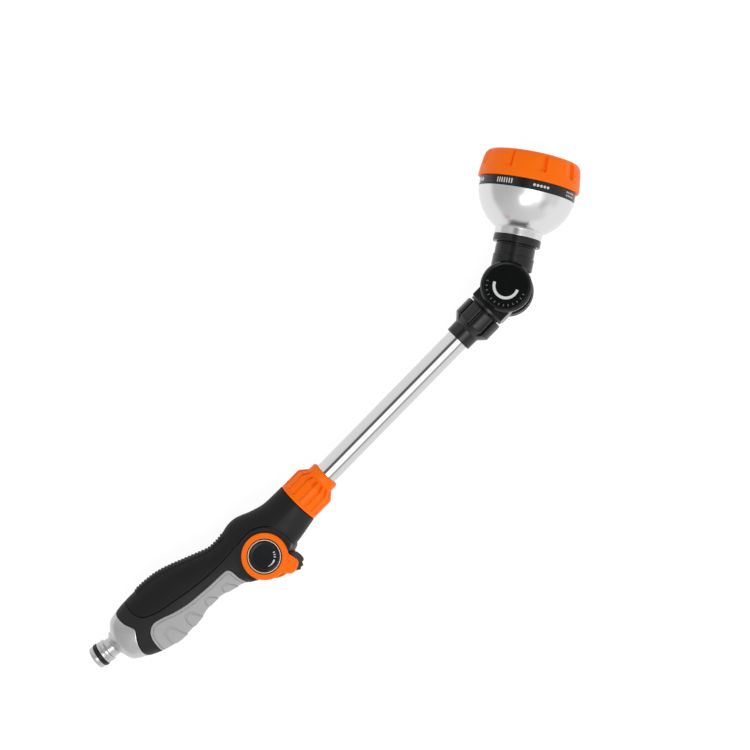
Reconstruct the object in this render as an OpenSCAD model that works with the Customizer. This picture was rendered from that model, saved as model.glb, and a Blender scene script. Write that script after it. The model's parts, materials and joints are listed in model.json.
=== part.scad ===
// Watering wand lying on its side: +X runs along the tube from the hose tail to the spray head,
// +Z is across the wand and up, +Y is towards the back of the handle.
// The origin is the centre of the hose tail's open end.

/* [Tube] */
// Outside diameter of the tube
tube_d = 16; // [15.8:0.1:16]
// Wall thickness of the tube
tube_wall = 0.9; // [0.7:0.1:1.5]
// Distance from the hose tail's end to the swivel pivot, along the tube
pivot_x = 377.3; // [377.3:1:450]

/* [Handle] */
// Height of the hose tail's centre above the tube's axis
tail_rise = 24.5; // [24:0.1:25]
// Downward slope of the hose tail's axis, in degrees
tail_tilt = 10; // [9.5:0.1:10.5]
// Thickness of the soft grip and of the finger inlay
skin = 2.1; // [1.8:0.1:2.3]
// Depth of the handle's hollow below its outer surface
shell_depth = 4.4; // [4:0.1:5]
// Groove between the panels and the handle shell
groove = 0.35; // [0.2:0.05:0.6]

/* [Valve lever] */
// Distance from the hose tail's end to the valve's axis, along the tube
valve_x = 135.1; // [135:0.1:135.2]
// Height of the valve's axis, measured from the tube's axis
valve_y = -11.3; // [-11.4:0.1:-11.2]
// Outside radius of the lever's round ring
lever_r = 15.8; // [15:0.1:16]
// Direction of the lever's tab, in degrees from +X
tab_angle = -64; // [-64:1:-60]
// Radius of the valve's spool
spool_r = 8.6; // [8.4:0.1:8.7]

/* [Nuts] */
// Radius of the collar nut at its ribs
collar_r = 15.3; // [15:0.1:16]
// Number of ribs around the collar nut
collar_ribs = 16; // [12:1:18]
// Radius of the upper nut at its lobes
lobe_r = 14.4; // [14:0.1:15]
// Number of lobes around the upper nut
lobes = 8; // [6:1:10]

/* [Head] */
// Angle between the head's axis and the tube, in degrees
head_tilt = 33; // [-80:1:80]
// Radius of the swivel joint's round cheeks
cheek_r = 17; // [16.5:0.1:17.2]
// Radius of the bell at its front rim
bell_r = 32.9; // [32.3:0.1:33.3]
// Radius of the dial ring at its skirt
dial_r = 34.8; // [34:0.1:35.5]
// Number of spray patterns on the dial
patterns = 8; // [6:1:8]
// Number of finger scallops around the dial ring
scallops = 9; // [6:1:10]

/* [Hidden] */
$fn = 72;

tube_r = tube_d / 2;
fit = 0.05;
running = 0.3;

// Upper edge of the handle, as [distance along X, height above the tube's axis]
back_line = [
  [18.5, 28], [20.5, 28.6], [21.5, 30], [23.5, 30.4], [25.2, 32.7], [27.2, 34.8], [29.5, 35.8],
  [33, 36.4], [41, 37.3], [56, 37.3], [66, 36.6], [74, 35.2], [82, 32.6], [92, 28.6],
  [102, 24.6], [110, 21.6], [117, 21.2], [122, 21.6], [127, 23.1], [132, 23.7], [137, 23.2],
  [142, 21.4], [147, 19.2], [157, 16.2], [167, 15.6], [174.3, 15.5]
];
// Lower edge of the handle
front_line = [
  [18.5, 15.3], [20.2, 10.6], [21.2, 6.5], [24.2, 3], [27.2, 1], [31, -1.5], [38, -4.7],
  [46, -7.1], [54, -8.4], [66, -8.4], [74, -7.6], [80, -6.5], [90, -6.5], [96, -7.8],
  [104, -10.1], [110, -12.2], [114, -15.1], [118, -17.5], [121, -18.3], [124, -20.2],
  [128, -22.4], [134, -23.5], [140, -22.9], [145, -20.9], [150, -19.6], [152.5, -19.1],
  [154.5, -18.6], [160, -17.9], [174.3, -15.5]
];
// Half of the handle's width across Z
half_width = [
  [18.5, 6.5], [21, 9], [24, 12.5], [28, 14.5], [33, 15.3], [45, 16], [70, 16.2], [90, 15.6],
  [105, 15.2], [118, 15.2], [155, 15.2], [174.3, 15.5]
];
// Edge between the silver tail shell and the black handle
wave_line = [
  [35, 45], [34.2, 35.5], [33.8, 32.4], [34.1, 28.5], [34.8, 24.4], [36.5, 20.3], [37.3, 17.8],
  [36.5, 15.3], [33.9, 11.9], [31.7, 8.5], [30.1, 4.8], [29.3, 2.1], [29.2, -8]
];
// Edge of the soft grip on the handle's back
grip_line = [
  [46, 45], [44.6, 37], [43.9, 31], [43.9, 27], [44.8, 23], [47.1, 19.2], [52.1, 16.2],
  [57.1, 14.3], [62.1, 13.1], [70, 11.7], [80, 9.8], [90, 8.3], [100, 7.5], [110, 7.4],
  [117, 7.6], [124, 8], [129, 8.4], [133.3, 8.7], [138.6, 8.5], [143.6, 6.9], [148, 4.1],
  [151.6, 0.2], [154, -1], [160, -1.4], [178, -1.4], [178, 45]
];
// Edge of the finger inlay on the handle's front
inlay_line = [
  [38, -20], [38.3, -4.7], [39.4, -1.4], [40.7, 3.3], [42.9, 7.4], [46.1, 9.9], [49.3, 10.8],
  [52.6, 10.3], [57.5, 8.7], [65, 5.9], [74.7, 3.5], [84.6, 2.4], [94.5, 1.6], [107.2, 1.1],
  [110.2, 0], [111.5, -2.6], [111.6, -8.2], [112.4, -12.4], [114, -20]
];
squareness = 2.3;
handle_start = 18.5;
handle_end = 174.3;
ring_points = 28;
handle_stations = concat(
  [for (x = [handle_start:1.05:31]) x],
  [for (i = [0:36]) 32 + i * (handle_end - 32) / 36]
);

valve_at = [valve_x, valve_y - tail_rise, 0];
boss_face = 16.2;
boss_r = 19.3;
valve_r = 10.8;
valve_half = 14.4;
journal_r = 6.1;
port_r = 4;
lever_floor = boss_face + running;

// Where the water path bends: first in the handle, then on the tube's axis
bend_at = [92, tail_rise - 92 * tan(tail_tilt)];
bend_reach = bend_at[0] / cos(tail_tilt);
elbow_x = 160;
inlet_angle = atan2(bend_at[1] - valve_y, bend_at[0] - valve_x);
inlet_reach = norm([bend_at[0] - valve_x, bend_at[1] - valve_y]);
outlet_angle = atan2(-valve_y, elbow_x - valve_x);
outlet_reach = norm([elbow_x - valve_x, valve_y]);
stub_r = 6;
stub_reach = 19;
socket_mouth = 14.2;
socket_r = 10.3;

// Edges of the lever's tab and of the thumb bar, as [angle from the tab, distance from the valve's axis]
tab_line = [
  [28, 15], [22, 17.6], [17.2, 19.8], [13, 22], [9, 23], [3.6, 23], [-4, 22.9], [-12, 21.7],
  [-19, 18.6], [-27, 15]
];
bar_line = [
  [28, 16.5], [26, 17.1], [21, 18.9], [16, 20.5], [11.5, 21.4], [8.5, 21.2], [6, 20.7],
  [3.5, 21.3], [1, 21.9], [-1.5, 21.5], [-3.5, 20.9], [-6, 21.3], [-8.5, 21.2], [-12, 19.9],
  [-15, 18.7]
];

// Screws that hold the two handle shells, as [along X, height]
screw_places = [[57, 1.5], [86, -0.6], [104, 16]];

tube_start = 170.5;
oring_places = [173.5, 179.5];
tube_end = pivot_x - 28.3;
nut_base = pivot_x - 47.8;
knuckle_half = 9.6;
tongue_r = 13.3;
cheek_in = knuckle_half + running;
cheek_out = 15.5;

// Bell outline, as [distance from the pivot, radius]
bell_outside = [
  [35.4, 16.2], [40.3, 16.2], [40.6, 17], [42.5, 19.8], [45, 22.8], [48, 25.6], [52, 28.4],
  [56, 30.4], [60, 31.7], [65, bell_r]
];
bell_inside = [
  [65, bell_r - 1.8], [60, 29.8], [56, 28.4], [52, 26.3], [48, 23.4], [45, 20.5], [42.5, 17.4],
  [40.8, 14.2], [38, 14.2], [38, 11], [35.4, 11]
];
port_ring_r = 15;
detent_ring_r = 24;
dial_inner_r = 28.9;

// ---- Curves ----

// Index of the stretch of a line that holds x
function stretch(line, x, i = 0) =
  i >= len(line) - 2 || x < line[i + 1][0] ? i : stretch(line, x, i + 1);

// Slope of a line at one of its points
function slope(line, i) =
  let (a = line[max(i - 1, 0)], b = line[min(i + 1, len(line) - 1)])
  (b[1] - a[1]) / (b[0] - a[0]);

// Height of a smooth curve through the line's points
function height_at(line, x) =
  let (
    i = stretch(line, x),
    a = line[i],
    b = line[i + 1],
    span = b[0] - a[0],
    t = min(1, max(0, (x - a[0]) / span))
  )
  a[1] * (1 + 2 * t) * pow(1 - t, 2) + b[1] * t * t * (3 - 2 * t)
  + span * slope(line, i) * t * pow(1 - t, 2) - span * slope(line, i + 1) * t * t * (1 - t);

// Signed power, for rounded-square cross-sections
function bow(v) = sign(v) * pow(abs(v), 2 / squareness);

// Cross-section of the handle at x, its surface moved in by depth
function handle_ring(x, depth) =
  let (
    high = height_at(back_line, x) - depth,
    low = height_at(front_line, x) + depth,
    half = height_at(half_width, x) - depth
  )
  [
    for (k = [0:ring_points - 1])
    let (a = 360 * k / ring_points)
    [x, (high + low) / 2 + (high - low) / 2 * bow(cos(a)), half * bow(sin(a))]
  ];

// One smooth point on a curve through four neighbours
function between(a, b, c, d, t) =
  0.5 * (2 * b + (c - a) * t + (2 * a - 5 * b + 4 * c - d) * t * t
  + (3 * b - a - 3 * c + d) * t * t * t);

// A rounded path through points, with steps points to each stretch
function smooth_path(points, steps = 3) = [
  for (i = [0:len(points) - 2], s = [0:steps - 1])
  let (
    a = points[max(i - 1, 0)],
    d = points[min(i + 2, len(points) - 1)]
  )
  between(a, points[i], points[i + 1], d, s / steps),
  points[len(points) - 1]
];

// ---- Building blocks ----

// Closed skin through rings of points that have the same count, the same on both sides of Z = 0
module skin_through(rings) {
  count = len(rings);
  points = [for (ring = rings) for (p = ring) p];
  start_cap = [for (k = [0:ring_points - 1]) k];
  end_cap = [for (k = [ring_points - 1:-1:0]) (count - 1) * ring_points + k];
  sides = [
    for (i = [0:count - 2], k = [0:ring_points - 1])
    let (
      next = (k + 1) % ring_points,
      a = i * ring_points,
      b = a + ring_points
    )
    each k < ring_points / 2
      ? [[a + k, b + k, b + next], [a + k, b + next, a + next]]
      : [[a + k, b + k, a + next], [a + next, b + k, b + next]]
  ];
  polyhedron(points = points, faces = concat([start_cap, end_cap], sides));
}

// The handle's free-form body between two stations, its surface moved in by depth
module handle_form(depth = 0, from = handle_start, to = handle_end) {
  inner = [for (x = handle_stations) if (x > from + 0.2 && x < to - 0.2) x];
  skin_through([for (x = concat([from], inner, [to])) handle_ring(x, depth)]);
}

// A smooth free-form piece, kept as one skin
module moulded() resize([0, 0, 0]) children();

// Turns [distance along X, radius] points about the X axis
module turned(points) {
  rotate([0, 90, 0]) rotate_extrude() polygon([for (p = points) [p[1], p[0]]]);
}

// Round bar along X
module bar_x(r, from, to) translate([from, 0, 0]) rotate([0, 90, 0]) cylinder(r = r, h = to - from);

// Round bar along Z
module bar_z(r, from, to) translate([0, 0, from]) cylinder(r = r, h = to - from);

// Round seal about the Z axis
module seal_z(ring_r, cord_r) rotate_extrude() translate([ring_r, 0]) circle(cord_r, $fn = 32);

// Round seal about the X axis
module seal_x(ring_r, cord_r) rotate([0, 90, 0]) seal_z(ring_r, cord_r);

// Copies turned about the X axis
module around_x(count) for (i = [0:count - 1]) rotate([i * 360 / count, 0, 0]) children();

// Flat plate cut from an outline in the XY plane
module plate(outline, from, to) {
  translate([0, 0, from]) linear_extrude(to - from) polygon(outline);
}

// Places: the tube's axis, the hose tail, the valve, the swivel pivot and the head
module on_tube() translate([0, -tail_rise, 0]) children();
module on_tail() rotate([0, 0, -tail_tilt]) children();
module on_valve() translate(valve_at) children();
module on_pivot() translate([pivot_x, -tail_rise, 0]) children();
module on_head() on_pivot() rotate([0, 0, head_tilt]) children();
module right_side() mirror([0, 0, 1]) children();

// ---- Handle ----

// Everything on the tail's side of the wavy edge, moved along by shift
module behind_wave(shift = 0) {
  far = [[-5, -8], [-5, 45]];
  path = [for (p = smooth_path(wave_line)) [p[0] + shift, p[1]]];
  plate(concat(path, far), -30, 30);
}

// Region of the soft grip, made smaller by shrink
module grip_region(shrink = 0) {
  translate([0, 0, -30]) linear_extrude(60) offset(delta = -shrink) polygon(smooth_path(grip_line));
}

// Region of the finger inlay, made smaller by shrink
module inlay_region(shrink = 0) {
  translate([0, 0, -30]) linear_extrude(60) offset(delta = -shrink) polygon(smooth_path(inlay_line));
}

// Side view of the handle around the valve, as a flat outline just inside its edges
module valve_profile() {
  places = [for (i = [0:12]) valve_x - 23.3 + 3.9 * i];
  upper = [for (x = places) [x, height_at(back_line, x) - 0.8]];
  lower = [for (i = [12:-1:0]) [places[i], height_at(front_line, places[i]) + 0.6]];
  polygon(concat(upper, lower));
}

// Flat-faced boss around the valve, on the side above Z = 0
module valve_boss() {
  intersection() {
    translate([valve_x, valve_y, 0]) cylinder(r = boss_r, h = boss_face, $fn = 96);
    linear_extrude(boss_face) valve_profile();
  }
}

// Outer layer of the handle shell, open where the two panels lie
module outer_layer() {
  difference() {
    union() {
      handle_form();
      valve_boss();
    }
    behind_wave(0.3);
    grip_region();
    inlay_region();
  }
}

// Layer under the panels, with a spigot that enters the tail shell
module inner_layer() {
  difference() {
    handle_form(skin, 30);
    behind_wave(0.3);
  }
  handle_form(2.7, 26, 60);
}

// One handle shell, on the side above Z = 0
module handle_half() {
  difference() {
    union() {
      moulded() intersection() {
        translate([0, -60, 0]) cube([200, 120, 40]);
        union() {
          difference() {
            union() {
              outer_layer();
              inner_layer();
            }
            handle_form(shell_depth, 19, 168);
          }
          intersection() {
            handle_form(skin, 30);
            for (p = screw_places) translate([p[0], p[1], 0]) cylinder(r = 3, h = 20, $fn = 24);
          }
        }
      }
      spigot_half();
    }
    translate([valve_x, valve_y, 0]) {
      bar_z(valve_r + 0.15, -1, valve_half + 0.2);
      bar_z(journal_r + fit, 0, 20);
    }
    bar_x(socket_r + fit, 160, 192);
  }
}

// Half of the round spigot that carries the collar nut
module spigot_half() {
  intersection() {
    turned([
      [170, 13.2], [174.3, 13.2], [175, 12], [177, 12], [177.5, 12.4], [178.5, 12.4],
      [179, 12], [180.5, 12], [181, 12.4], [182, 12.4], [182.5, 12], [184, 12],
      [184.5, 12.4], [185.5, 12.4], [186, 12], [189, 12], [189, 9.5], [170, 9.5]
    ]);
    translate([160, -20, 0]) cube([40, 40, 20]);
  }
}

module handle_shell_left() {
  color("dimgray") on_tube() difference() {
    handle_half();
    for (p = screw_places) translate([p[0], p[1], -1]) cylinder(r = 1.3, h = 9);
  }
}

module handle_shell_right() {
  color("dimgray") on_tube() difference() {
    right_side() handle_half();
    for (p = screw_places) translate([p[0], p[1], 0]) {
      bar_z(1.5, -20, 1);
      bar_z(2.4, -20, -4.6);
    }
  }
}

module shell_screws() {
  color("silver") on_tube() for (p = screw_places) translate([p[0], p[1], 0]) {
    bar_z(1.25, -4.6, 7.5);
    difference() {
      bar_z(2.2, -6, -4.6);
      translate([0, 0, -6.1]) cylinder(r = 1.1, h = 0.8, $fn = 6);
    }
  }
}

module grip_back() {
  color("#262626") on_tube() moulded() intersection() {
    difference() {
      handle_form(0, 38);
      handle_form(skin, 37, handle_end + 1);
    }
    grip_region(groove);
  }
}

module finger_inlay() {
  color("#a8a8a8") on_tube() moulded() intersection() {
    difference() {
      handle_form(0, 34, 120);
      handle_form(skin, 33, 121);
    }
    inlay_region(groove);
  }
}

module tail_shell() {
  color("silver") difference() {
    union() {
      on_tube() moulded() intersection() {
        difference() {
          handle_form(0, handle_start, 50);
          handle_form(2.4, 20.5, 51);
        }
        behind_wave();
      }
      on_tail() bar_x(8.4, 19.6, 24.2);
    }
    on_tail() bar_x(6.55, 10, 30);
  }
}

module hose_tail() {
  color("silver") on_tail() turned([
    [0, 4.3], [0, 6.8], [0.5, 7.3], [1.5, 7.7], [3, 7.9], [4.9, 7.9], [4.9, 6.4], [7.5, 6.4],
    [7.5, 7.9], [12.4, 7.9], [12.9, 6.7], [17.2, 6.6], [17.4, 6.4], [24.5, 6.4], [24.5, 8.2],
    [27, 8.2], [27, 6], [29.3, 6], [29.3, 5.1], [30.7, 5.1], [30.7, 6], [34, 6], [34, 4.1],
    [24, 4.1], [24, 4.3]
  ]);
}

module tail_oring() color("#1c1c1c") on_tail() translate([6.2, 0, 0]) seal_x(7.2, 0.68);

module inlet_seal() color("#1c1c1c") on_tail() translate([30, 0, 0]) seal_x(5.56, 0.4);

// ---- Water path in the handle ----

module inlet_pipe() {
  color("#3c3c3c") difference() {
    union() {
      on_tail() {
        bar_x(7.6, 27.3, 36);
        bar_x(6.5, 35, bend_reach + 1);
      }
      on_valve() rotate([0, 0, inlet_angle]) {
        bar_x(6.2, 22, inlet_reach + 1);
        bar_x(7.6, socket_mouth, 23);
      }
    }
    on_tail() {
      bar_x(stub_r + fit, 27, 34.4);
      bar_x(port_r + 0.6, 30, bend_reach + 0.5);
    }
    on_valve() rotate([0, 0, inlet_angle]) {
      bar_x(port_r, 12, inlet_reach + 0.5);
      bar_x(stub_r + fit, 12, stub_reach + 0.3);
    }
  }
}

module valve_body() {
  color("#505050") on_valve() difference() {
    union() {
      bar_z(valve_r, -valve_half, valve_half);
      for (a = [inlet_angle, outlet_angle]) rotate([0, 0, a]) bar_x(stub_r, 4, stub_reach);
    }
    bar_z(spool_r + fit, -20, 20);
    for (a = [inlet_angle, outlet_angle]) rotate([0, 0, a]) bar_x(port_r, 4, 30);
  }
}

module outlet_elbow() {
  color("#3c3c3c") difference() {
    union() {
      on_valve() rotate([0, 0, outlet_angle]) bar_x(7.6, socket_mouth, outlet_reach + 2);
      on_tube() bar_x(stub_r, elbow_x - 3, tube_start - 0.5);
    }
    on_valve() rotate([0, 0, outlet_angle]) {
      bar_x(stub_r + fit, 10, stub_reach + 0.3);
      bar_x(port_r, 12, outlet_reach + 0.6);
    }
    on_tube() bar_x(port_r + 0.3, elbow_x - 1, tube_start + 1);
  }
}

module tube_socket() {
  color("#3c3c3c") on_tube() difference() {
    bar_x(socket_r, elbow_x + 6.4, 186);
    bar_x(stub_r + fit, elbow_x, tube_start);
    bar_x(tube_r + fit, tube_start - 0.3, 190);
    for (x = oring_places) bar_x(9.3, x, x + 2.2);
  }
}

module socket_orings() {
  color("#1c1c1c") on_tube() for (x = oring_places) translate([x + 1.1, 0, 0]) seal_x(tube_r + 0.66, 0.6);
}

module tube_collet() {
  color("whitesmoke") on_tube() difference() {
    turned([
      [186.3, tube_r + fit], [186.3, 10.2], [189, 10.2], [195, 9], [195, tube_r + fit]
    ]);
    around_x(4) translate([188, -0.5, 0]) cube([10, 1, 20]);
  }
}

module wand_tube() {
  color("gainsboro") on_tube() difference() {
    bar_x(tube_r, tube_start, tube_end);
    bar_x(tube_r - tube_wall, tube_start - 1, tube_end + 1);
  }
}

// ---- Valve lever ----

// Points at [angle from the tab, distance from the valve's axis]
function by_tab(points) = [for (p = points) p[1] * [cos(tab_angle + p[0]), sin(tab_angle + p[0])]];

// Lever ring seen from +Z, with or without its tab
module lever_outline(with_tab) {
  circle(lever_r);
  if (with_tab) polygon(by_tab(concat([[0, 8]], smooth_path(tab_line))));
}

// Lever ring on the side above Z = 0
module lever_ring(with_tab) {
  difference() {
    translate([0, 0, lever_floor]) linear_extrude(3.7) lever_outline(with_tab);
    bar_z(11.7, lever_floor + 1.2, 30);
    translate([-4.05, -4.05, 10]) cube([8.1, 8.1, 10]);
  }
}

module lever_ring_left() {
  color("#f26a14") on_valve() {
    lever_ring(true);
    for (a = [-9, 9]) rotate([0, 0, tab_angle + a]) translate([18.6, 0, 0]) bar_z(1.4, 12, lever_floor + 0.2);
  }
}

module lever_ring_right() {
  color("#f26a14") on_valve() right_side() {
    lever_ring(false);
    rotate([0, 0, tab_angle]) translate([14, -3, lever_floor + 0.4]) cube([5, 6, 1.6]);
  }
}

module thumb_bar() {
  inner_edge = [for (a = [-15:3.5:27]) [a, 16.1]];
  color("#2a2222") on_valve() difference() {
    plate(by_tab(concat(inner_edge, smooth_path(bar_line))), -19.6, lever_floor - 0.1);
    for (a = [-9, 9]) rotate([0, 0, tab_angle + a]) translate([18.6, 0, 0]) bar_z(1.45, 11.8, 20);
    rotate([0, 0, tab_angle]) translate([10, -3.1, -lever_floor - 2.1]) cube([9.2, 6.2, 1.8]);
  }
}

module valve_spool() {
  color("white") on_valve() difference() {
    union() {
      bar_z(spool_r, -14.3, 14.3);
      bar_z(journal_r, -lever_floor, lever_floor);
      translate([-4, -4, -17.7]) cube([8, 8, 35.4]);
    }
    for (a = [inlet_angle, outlet_angle]) rotate([0, 0, a]) bar_x(port_r, 0, 20);
    sphere(port_r + 0.3);
    for (z = [-11.5, 11.5]) translate([0, 0, z]) difference() {
      bar_z(20, -0.7, 0.7);
      bar_z(7.6, -1, 1);
    }
    for (side = [0, 1]) mirror([0, 0, side]) bar_z(1.7, 6, 20);
  }
}

module spool_orings() {
  color("#1c1c1c") on_valve() for (z = [-11.5, 11.5]) translate([0, 0, z]) seal_z(8.08, 0.45);
}

module lever_screws() {
  color("silver") on_valve() for (side = [0, 1]) mirror([0, 0, side]) difference() {
    union() {
      bar_z(1.65, 7, 17.9);
      bar_z(6.4, 17.75, 18.2);
      bar_z(3.5, 18.1, 19.1);
    }
    translate([0, 0, 18.4]) cylinder(r = 1.5, h = 2, $fn = 6);
  }
}

// White ring around the lever's cap, on the side above Z = 0
module trim_ring() {
  difference() {
    bar_z(11.35, lever_floor + 1.3, 20.6);
    bar_z(10.4, 10, 30);
  }
}

module trim_ring_left() color("white") on_valve() trim_ring();

module trim_ring_right() color("white") on_valve() right_side() trim_ring();

// Dished cap over the lever's screw, on the side above Z = 0
module lever_cap() {
  rotate_extrude() polygon([
    [0, 19.3], [9, 19.3], [9, 17.85], [10.3, 17.85], [10.3, 20.3], [9.6, 20.5], [8.6, 20.2], [0, 19.9]
  ]);
}

module lever_cap_left() color("#202420") on_valve() lever_cap();

module lever_cap_right() color("#202420") on_valve() right_side() lever_cap();

// ---- Nuts and swivel ----

module collar_nut() {
  rib = 360 / collar_ribs;
  color("#f26a14") on_tube() difference() {
    turned([
      [174.8, 12.7], [174.8, collar_r], [190.8, collar_r],
      [196.4, 10.5], [201.2, 10.5], [202, 9.7], [202, tube_r + 0.25], [196.2, tube_r + 0.25],
      [196.2, 9.5], [189.6, 10.7], [189.6, 12.7]
    ]);
    for (i = [0:collar_ribs - 1]) rotate([i * rib, 0, 0]) {
      translate([177.6, 0, collar_r + 0.5]) rotate([0, 90, 0]) cylinder(r = 1.4, h = 17);
    }
  }
}

module upper_nut() {
  color("#303030") on_tube() translate([nut_base, 0, 0]) difference() {
    turned([
      [0, tube_r + 0.2], [0, 9.3], [0.5, 9.7], [8.5, 9.7], [13.5, lobe_r], [25.6, lobe_r],
      [26.1, lobe_r - 0.5], [26.1, 11.1], [13.2, 11.1], [9.6, 9.7], [8.9, 9.7], [8.9, tube_r + 0.2]
    ]);
    for (i = [0:lobes - 1]) rotate([i * 360 / lobes, 0, 0]) {
      translate([9, -1.1, lobe_r - 2]) cube([20, 2.2, 5]);
    }
  }
}

module upper_collet() {
  color("whitesmoke") on_tube() translate([nut_base, 0, 0]) difference() {
    turned([
      [9.3, tube_r + fit], [9.3, 9], [11.5, 10.3], [14, 10.3], [14, tube_r + fit]
    ]);
    around_x(4) translate([8, -0.5, 0]) cube([4.5, 1, 20]);
  }
}

module lower_knuckle() {
  color("#303030") difference() {
    on_pivot() {
      bar_x(10.8, -33, -20.5);
      bar_x(tongue_r, -20.9, -18.5);
      translate([-19, -tongue_r, -knuckle_half]) cube([19, 2 * tongue_r, 2 * knuckle_half]);
      bar_z(tongue_r, -knuckle_half, knuckle_half);
      bar_z(9.5, -12.4, 12.4);
    }
    on_pivot() {
      bar_x(tube_r + fit, -40, -28);
      bar_x(6, -29, -2);
      bar_x(9.3, -32, -30.2);
      bar_z(7, -20, 20);
      for (z = [-11, 11]) translate([0, 0, z]) difference() {
        bar_z(20, -0.5, 0.5);
        bar_z(8.7, -1, 1);
      }
    }
  }
}

module knuckle_oring() color("#1c1c1c") on_pivot() translate([-31.1, 0, 0]) seal_x(tube_r + 0.62, 0.56);

module swivel_orings() {
  color("#1c1c1c") on_pivot() for (z = [-11, 11]) translate([0, 0, z]) seal_z(9.1, 0.37);
}

module upper_knuckle() {
  color("#303030") on_head() difference() {
    union() {
      for (side = [0, 1]) mirror([0, 0, side]) bar_z(cheek_r, cheek_in, cheek_out);
      turned([
        [7, 0], [7, 14], [22.2, 14], [22.2, 13.2], [22.9, 13.2], [22.9, 13.5], [28.9, 13.5],
        [28.9, 12.9], [29.6, 12.9], [29.6, 13.5], [30.4, 13.5], [30.4, 10.9], [43, 10.9],
        [43, 9.6], [44.8, 9.6], [44.8, 10.9], [46, 10.9], [46, 0]
      ]);
    }
    translate([-20, -20, -cheek_in]) cube([33.8, 40, 2 * cheek_in]);
    bar_z(9.55, -12.7, 12.7);
    for (side = [0, 1]) mirror([0, 0, side]) translate([0, -5, 10.4]) cube([18, 10, 2.3]);
    translate([15, -5, -12.7]) cube([3, 10, 25.4]);
    bar_x(6, 16, 50);
    bar_z(2.05, -20, 20);
    bar_z(4.2, 13.9, 20);
    translate([0, 0, -15.6]) cylinder(r = 4.2, h = 1.7, $fn = 6);
  }
}

module swivel_bolt() {
  color("silver") on_head() difference() {
    union() {
      bar_z(2, -15.3, 14.1);
      bar_z(4, 14, 15.4);
    }
    translate([0, 0, 14.8]) cylinder(r = 1.7, h = 2, $fn = 6);
  }
}

module swivel_nut() {
  color("silver") on_head() difference() {
    translate([0, 0, -15.45]) cylinder(r = 4, h = 1.5, $fn = 6);
    bar_z(2.05, -20, 0);
  }
}

// Round cover of the swivel, on the side above Z = 0
module swivel_cap() {
  rotate_extrude() polygon([
    [0, 15.6], [17.4, 15.6], [17.4, 17.1], [16, 19.2], [15.3, 19.2], [15.1, 18.8], [0, 18.8]
  ]);
}

module swivel_cap_left() color("#161616") on_head() swivel_cap();

module swivel_cap_right() color("#161616") on_head() right_side() swivel_cap();

// ---- Spray head ----

module neck_collar() {
  color("#2c2c2c") on_head() turned([
    [30.5, 11], [30.5, 15.8], [30.9, 16.2], [35.2, 16.2], [35.2, 11]
  ]);
}

module neck_oring() color("#1c1c1c") on_head() translate([43.9, 0, 0]) seal_x(10.3, 0.62);

module bell() color("silver") on_head() turned(concat(bell_outside, bell_inside));

module bell_insert() {
  color("#3c3c3c") on_head() difference() {
    turned([
      [39, 11], [46.3, 11], [46.3, 6.2], [49, 6.2], [55.5, 20], [58, 20], [58, 2], [61.5, 2],
      [61.5, 29.5], [60.2, 29.5], [60.2, 28.2], [57, 28.2], [56, 26.3], [47.2, 13.2], [39, 13.2]
    ]);
    translate([0, port_ring_r, 0]) {
      bar_x(3.4, 57, 70);
      bar_x(5, 59.7, 70);
    }
    translate([0, -detent_ring_r, 0]) bar_x(2.2, 58.4, 70);
    difference() {
      bar_x(28.1, 60.5, 70);
      bar_x(26, 50, 80);
    }
  }
}

module port_seal() {
  color("#1c1c1c") on_head() translate([0, port_ring_r, 0]) {
    turned([[59.75, 3.4], [59.75, 4.9], [61.4, 4.9], [61.8, 4.4], [61.8, 3.4]]);
  }
}

module face_oring() color("#1c1c1c") on_head() translate([61.2, 0, 0]) seal_x(27.05, 0.65);

module detent_ball() color("silver") on_head() translate([61.35, -detent_ring_r, 0]) sphere(1.9);

// Coil spring behind the detent ball
module detent_spring() {
  turns = 3;
  per_turn = 12;
  sides = 8;
  coil_r = 1.55;
  wire_r = 0.22;
  rise = 0.26;
  rings = [
    for (i = [0:turns * per_turn])
    let (a = 360 * i / per_turn, x = 58.65 + rise * i / per_turn)
    [
      for (k = [0:sides - 1])
      let (r = coil_r + wire_r * cos(360 * k / sides), h = x + 0.1 * sin(360 * k / sides))
      [h, r * cos(a), r * sin(a)]
    ]
  ];
  count = len(rings);
  faces = concat(
    [[for (k = [0:sides - 1]) k]],
    [[for (k = [sides - 1:-1:0]) (count - 1) * sides + k]],
    [
      for (i = [0:count - 2], k = [0:sides - 1])
      let (next = (k + 1) % sides)
      each [
        [i * sides + k, (i + 1) * sides + k, (i + 1) * sides + next],
        [i * sides + k, (i + 1) * sides + next, i * sides + next]
      ]
    ]
  );
  color("silver") on_head() translate([0, -detent_ring_r, 0]) {
    polyhedron(points = [for (ring = rings) for (p = ring) p], faces = faces);
  }
}

module dial_screw() {
  color("silver") on_head() difference() {
    union() {
      bar_x(1.95, 58.2, 80.4);
      bar_x(3.8, 80.2, 82.6);
    }
    translate([81.4, 0, 0]) rotate([0, 90, 0]) cylinder(r = 1.7, h = 3, $fn = 6);
  }
}

module label_ring() {
  color("#1e1e1e") on_head() turned([
    [65.4, dial_inner_r], [65.4, bell_r - 0.1], [71.5, bell_r - 0.1], [71.5, dial_inner_r]
  ]);
}

// Half-round cutter with a flat side, for one finger scallop
module scallop() {
  rotate([0, 90, 0]) linear_extrude(20) intersection() {
    translate([-48, 0]) circle(16);
    translate([-40, 0]) square([12, 20]);
  }
}

module dial_ring() {
  color("#f26a14") on_head() difference() {
    turned([
      [71.7, dial_inner_r], [71.7, dial_r - 0.6], [72.3, dial_r], [77, dial_r - 0.4],
      [84.5, dial_r - 1.3], [88, dial_r - 2.3], [90, dial_r - 3.7], [90.6, dial_r - 5.2],
      [90.6, dial_inner_r]
    ]);
    for (i = [0:scallops - 1]) rotate([i * 360 / scallops - 20, 0, 0]) translate([77.5, 0, 0]) scallop();
  }
}

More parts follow.
